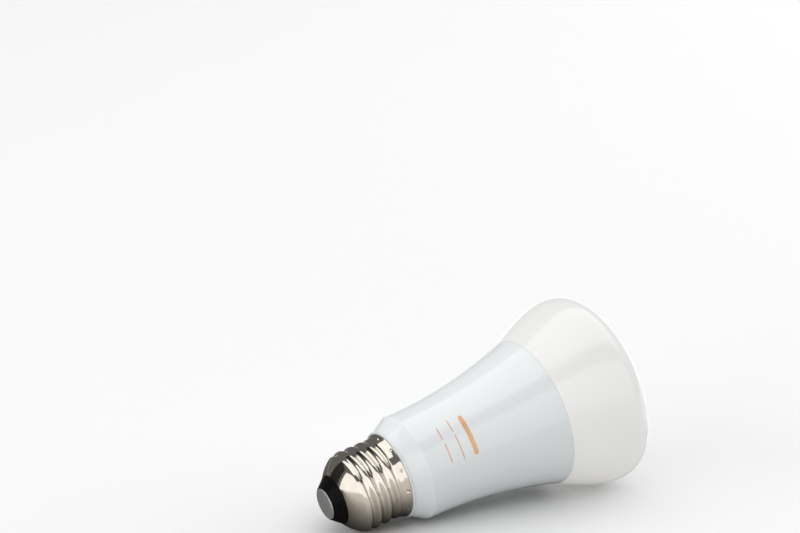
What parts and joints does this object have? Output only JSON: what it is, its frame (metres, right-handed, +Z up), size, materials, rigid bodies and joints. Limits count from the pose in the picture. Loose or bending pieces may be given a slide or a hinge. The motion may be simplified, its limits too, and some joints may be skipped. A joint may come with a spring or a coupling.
{
  "type": "smart light bulb",
  "caption": "Smart LED light bulb lying on its side: Edison screw cap, tapering white housing and a wide frosted globe over a light engine, driver and radio.",
  "frame": {"origin": "centre of the lying bulb's footprint, on the surface that it rests on", "axes": "+Z up; +X from the screw cap to the globe, level; the bulb's own axis rises by 12.1 degrees from +X towards +Z, because the bulb rests on its globe and on its screw thread; +Y is level, to the left of +X"},
  "size_m": [0.1098, 0.063, 0.0621],
  "materials": {
    "housing_plastic": "smooth glossy white",
    "globe_plastic": "frosted satin, light passes through",
    "reflector_plastic": "matte white",
    "cap_nickel": "nickel-plated, bright",
    "insulator_black": "glossy black",
    "contact_tin": "tinned, dull",
    "cast_aluminium": "as cast, fine grain",
    "sleeve_plastic": "natural, matte",
    "pad_silicone": "soft, matte",
    "board_white": "white solder mask on an aluminium core",
    "board_green": "solder mask on glass fibre board",
    "screw_steel": "zinc-plated",
    "shield_tin": "tinned, satin",
    "copper": "bright copper",
    "ferrite": "sintered, matte",
    "winding_tape": "tape over enamelled wire",
    "black_moulding": "moulded, matte",
    "capacitor_black": "sleeved can",
    "capacitor_blue": "sleeved can",
    "disc_blue": "dipped resin",
    "film_yellow": "moulded",
    "resistor_green": "baked lacquer",
    "lead_red": "wire insulation",
    "lead_black": "wire insulation",
    "led_warm": "phosphor over white package",
    "led_cool": "phosphor over white package",
    "led_red": "clear resin over white package",
    "led_green": "clear resin over white package",
    "led_blue": "clear resin over white package"
  },
  "bodies": {
    "root": {"screw_shell": "cap_nickel", "cap_insulator": "insulator_black", "centre_contact": "contact_tin", "housing_shell": "housing_plastic", "diffuser_globe": "globe_plastic", "heatsink_cup": "cast_aluminium", "heat_spreader": "cast_aluminium", "driver_sleeve": "sleeve_plastic", "sleeve_lid": "sleeve_plastic", "thermal_pad": "pad_silicone", "led_board": "board_white", "reflector_ring": "reflector_plastic", "board_screw_1": "screw_steel", "board_screw_2": "screw_steel", "board_screw_3": "screw_steel", "radio_board": "board_green", "radio_shield": "shield_tin", "radio_crystal": "shield_tin", "radio_antenna": "copper", "radio_header": "black_moulding", "driver_board": "board_green", "transformer_core": "ferrite", "transformer_bobbin": "black_moulding", "transformer_winding": "winding_tape", "bulk_capacitor": "capacitor_black", "output_capacitor": "capacitor_blue", "choke_core": "ferrite", "choke_winding": "copper", "film_capacitor": "film_yellow", "bridge_rectifier": "black_moulding", "power_switch": "black_moulding", "controller_chip": "black_moulding", "disc_capacitor": "disc_blue", "fusible_resistor": "resistor_green", "led_header": "black_moulding", "live_lead": "lead_red", "neutral_lead": "lead_black", "led_warm_white_1": "led_warm", "led_warm_white_2": "led_warm", "led_warm_white_3": "led_warm", "led_warm_white_4": "led_warm", "led_cool_white_1": "led_cool", "led_red_1": "led_red", "led_green_1": "led_green", "led_blue_1": "led_blue", "led_cool_white_2": "led_cool", "led_red_2": "led_red", "led_green_2": "led_green", "led_blue_2": "led_blue"}
  },
  "joints": []
}
